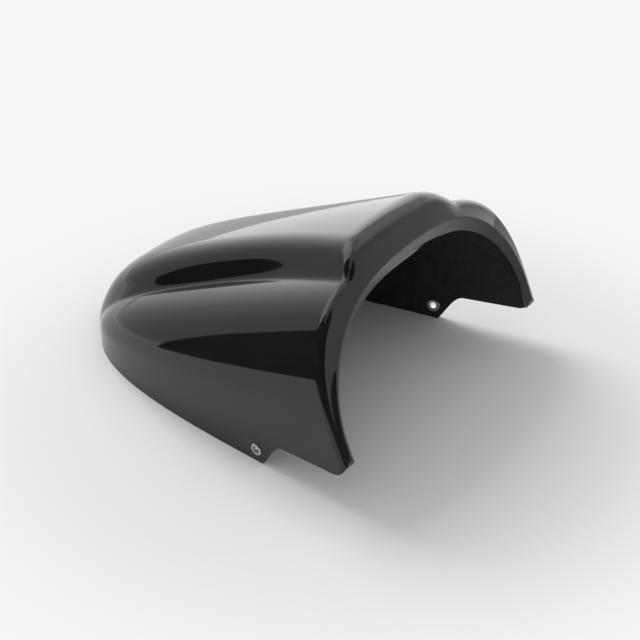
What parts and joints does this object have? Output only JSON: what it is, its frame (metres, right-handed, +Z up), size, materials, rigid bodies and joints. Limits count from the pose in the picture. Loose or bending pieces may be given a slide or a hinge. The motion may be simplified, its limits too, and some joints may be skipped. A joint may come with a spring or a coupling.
{
  "type": "motorcycle seat cowl",
  "caption": "Glossy moulded shell that caps a motorcycle's rear seat, with a raised centre hump, a turned-in front flange and a bolt eyelet low on each side.",
  "frame": {"origin": "middle of the floor under the cowl, halfway along its length", "axes": "+X towards the open front mouth, +Y to the rider's left, +Z up from the lower edge"},
  "size_m": [0.3076, 0.267, 0.1512],
  "materials": {
    "cowl_shell": "glossy black outside, rough dark moulding inside",
    "eyelet": "plated, satin"
  },
  "bodies": {
    "root": {"cowl_shell": "cowl_shell", "right_eyelet": "eyelet", "left_eyelet": "eyelet"}
  },
  "joints": []
}
